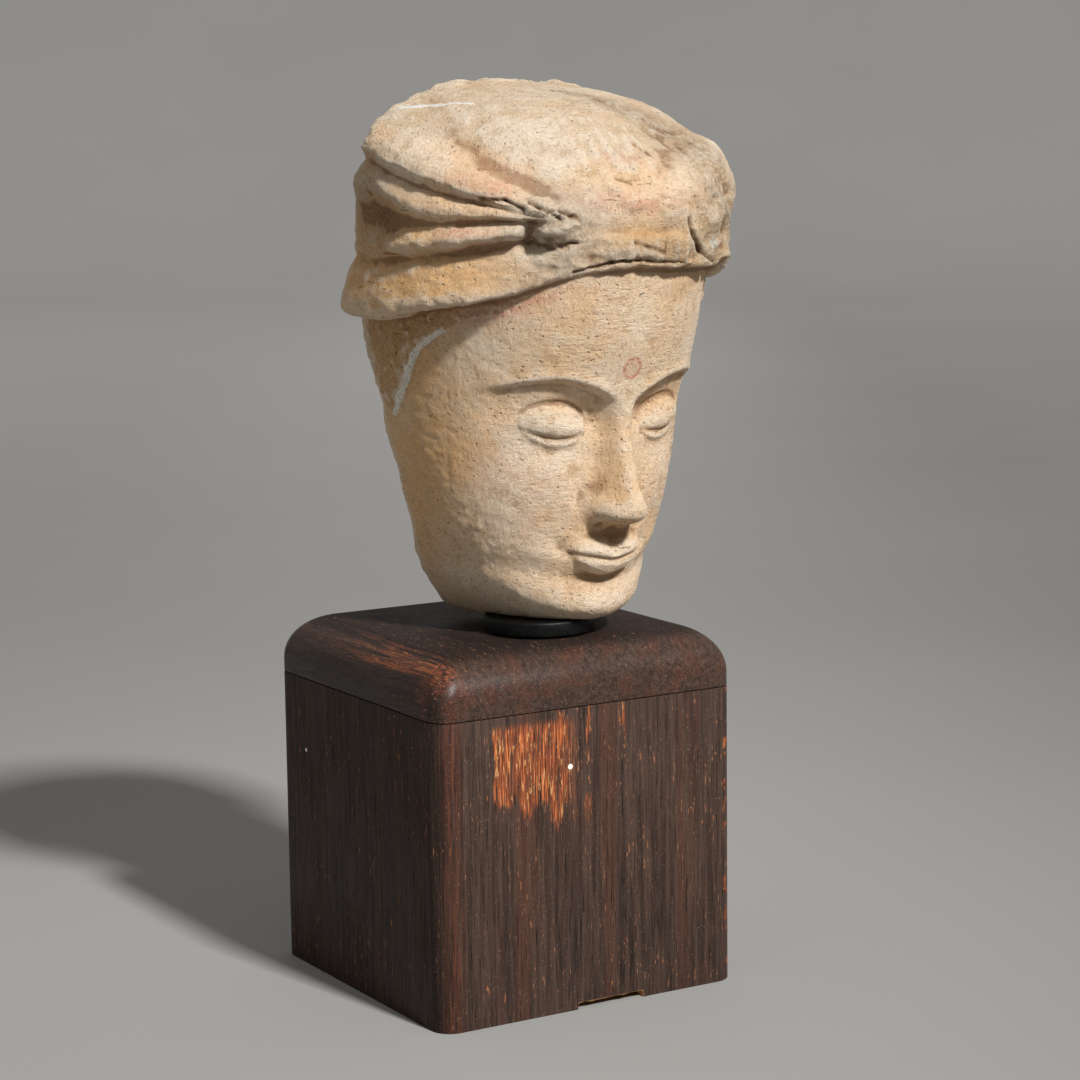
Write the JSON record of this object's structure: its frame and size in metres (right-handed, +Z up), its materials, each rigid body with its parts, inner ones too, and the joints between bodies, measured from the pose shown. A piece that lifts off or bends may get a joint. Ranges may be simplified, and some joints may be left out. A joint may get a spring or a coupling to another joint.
{
  "type": "bodhisattva head on plinth",
  "caption": "Terracotta bodhisattva head with a turban of twisted folds, set by a short black mount on a dark wooden plinth with rounded top edges.",
  "frame": {"origin": "middle of the plinth's underside", "axes": "+Z up; the front of the plinth and the face look along -Y; +X is the sculpture's own left"},
  "size_m": [0.1019, 0.1066, 0.2387],
  "materials": {
    "terracotta": "matte",
    "dark_wood": "satin",
    "black_mount": "satin"
  },
  "bodies": {
    "root": {"head": "terracotta", "mount_post": "black_mount", "plinth_cap": "dark_wood", "plinth_block": "dark_wood"}
  },
  "joints": []
}
